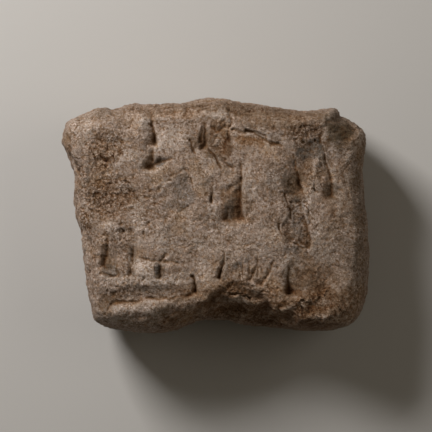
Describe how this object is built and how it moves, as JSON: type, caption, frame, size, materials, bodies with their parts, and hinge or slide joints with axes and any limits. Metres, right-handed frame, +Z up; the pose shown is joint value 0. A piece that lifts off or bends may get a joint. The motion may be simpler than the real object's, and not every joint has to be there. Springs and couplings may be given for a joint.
{
  "type": "cuneiform tablet",
  "caption": "Small weathered clay tablet lying on its back, with rows of shallow wedge strokes on its upper face, chipped corners and a bite broken out of its lower edge.",
  "frame": {"origin": "on the surface the tablet lies on, under the middle of its outline", "axes": "+X along the lines of writing, the long way; +Y towards the first line; +Z up, out of the written face"},
  "size_m": [0.0516, 0.0396, 0.0192],
  "materials": {
    "clay": "dry matt grey-tan clay, gritty, reddish brown where it is broken and dark with dirt in its hollows"
  },
  "bodies": {
    "root": {"tablet": "clay"}
  },
  "joints": []
}
